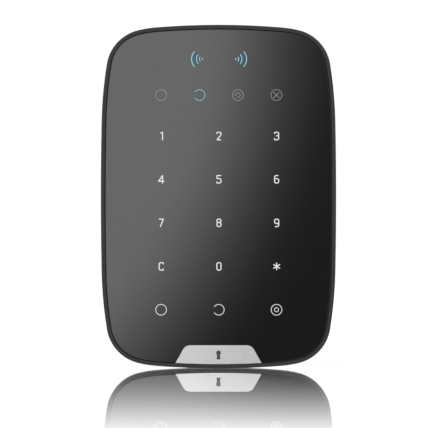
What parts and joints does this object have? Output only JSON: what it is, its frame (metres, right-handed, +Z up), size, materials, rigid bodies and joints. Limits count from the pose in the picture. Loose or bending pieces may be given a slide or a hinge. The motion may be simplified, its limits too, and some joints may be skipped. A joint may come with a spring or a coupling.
{
  "type": "wireless access keypad with card reader",
  "caption": "Wall-mounted wireless touch keypad with a contactless card reader, on a slide-off wall bracket with a battery door and a tamper plunger.",
  "frame": {"origin": "on the wall plane, at the centre of the four wall-screw holes of the bracket, which is also the middle of the device seen from the front", "axes": "+X to the right seen from the front, +Z up, +Y from the device into the wall"},
  "size_m": [0.113, 0.02, 0.165],
  "materials": {
    "housing": "matte dark grey moulded plastic, fine grain",
    "panel": "gloss black cover panel",
    "emblem": "satin silver",
    "adhesive": "black foam tape",
    "film": "black printed film",
    "board": "green solder mask",
    "copper": "plated copper",
    "light": "clear domed light",
    "ferrite": "dull grey sheet",
    "flex": "amber flexible circuit",
    "socket": "ivory moulded",
    "tinplate": "bright tinplate",
    "chip": "black moulded",
    "ceramic": "tan ceramic",
    "can": "bright can",
    "switch": "black moulded",
    "tray": "black moulded",
    "cell": "printed grey and copper sleeve",
    "nickel": "nickel plated",
    "lead": "insulated wire",
    "housing_rear": "matte dark grey moulded plastic",
    "label": "blank paper label",
    "brass": "turned brass",
    "screw": "zinc plated",
    "door": "matte dark grey moulded plastic",
    "button": "mid grey moulded plastic",
    "spring": "spring wire",
    "bracket": "dark grey moulded plastic",
    "washer": "nylon"
  },
  "bodies": {
    "wall_bracket": {"wall_bracket": "bracket"},
    "keypad": {"front_housing": "housing", "touch_panel": "panel", "emblem_plate": "emblem", "panel_adhesive": "adhesive", "legend_film": "film", "main_board": "board", "touch_pads": "copper", "key_lights": "light", "reader_board": "board", "reader_coil": "copper", "ferrite_sheet": "ferrite", "reader_flex": "flex", "reader_flex_connectors": "socket", "radio_shield": "tinplate", "radio_antenna": "tinplate", "chips": "chip", "crystals": "tinplate", "small_capacitors": "ceramic", "storage_capacitors": "can", "buzzer": "chip", "power_switch": "switch", "tamper_switch": "switch", "battery_tray": "tray", "battery_cell_1": "cell", "battery_cell_2": "cell", "battery_cell_3": "cell", "battery_cell_4": "cell", "contact_plates": "nickel", "contact_springs": "nickel", "battery_leads": "lead", "supply_socket": "socket", "rear_cover": "housing_rear", "rating_label": "label", "lock_insert": "brass", "case_screws": "screw", "tamper_spring": "spring"},
    "lock_washer": {"lock_washer": "washer"},
    "lock_screw": {"lock_screw": "screw"},
    "battery_door": {"battery_door": "door"},
    "power_button": {"power_button": "button"},
    "tamper_plunger": {"tamper_plunger": "button"}
  },
  "joints": [
    {"name": "keypad_slide", "type": "slide", "parent": "wall_bracket", "child": "keypad", "axis": [0, 0, 1], "range_m": [0, 0.01]},
    {"name": "battery_door_hinge", "type": "hinge", "parent": "keypad", "child": "battery_door", "pos_m": [0, -0.0028, -0.0136], "axis": [1, 0, 0], "range_deg": [0, 75]},
    {"name": "power_button_press", "type": "slide", "parent": "keypad", "child": "power_button", "axis": [0, -1, 0], "range_m": [0, 0.0006], "stiffness_N_per_m": 800},
    {"name": "tamper_plunger_travel", "type": "slide", "parent": "keypad", "child": "tamper_plunger", "axis": [0, 1, 0], "range_m": [0, 0.0012], "deforming": ["tamper_spring"]},
    {"name": "lock_screw_travel", "type": "slide", "parent": "wall_bracket", "child": "lock_washer", "axis": [0, 0, -1], "range_m": [0, 0.003]},
    {"name": "lock_screw_turn", "type": "hinge", "parent": "lock_washer", "child": "lock_screw", "pos_m": [0, -0.0044, -0.08], "axis": [0, 0, -1], "range_deg": [0, 2160]}
  ],
  "couplings": [
    {"joint": "tamper_plunger_travel", "follows": "keypad_slide", "ratio": 0.12},
    {"joint": "lock_screw_turn", "follows": "lock_screw_travel", "rad_per_m": 12566}
  ]
}
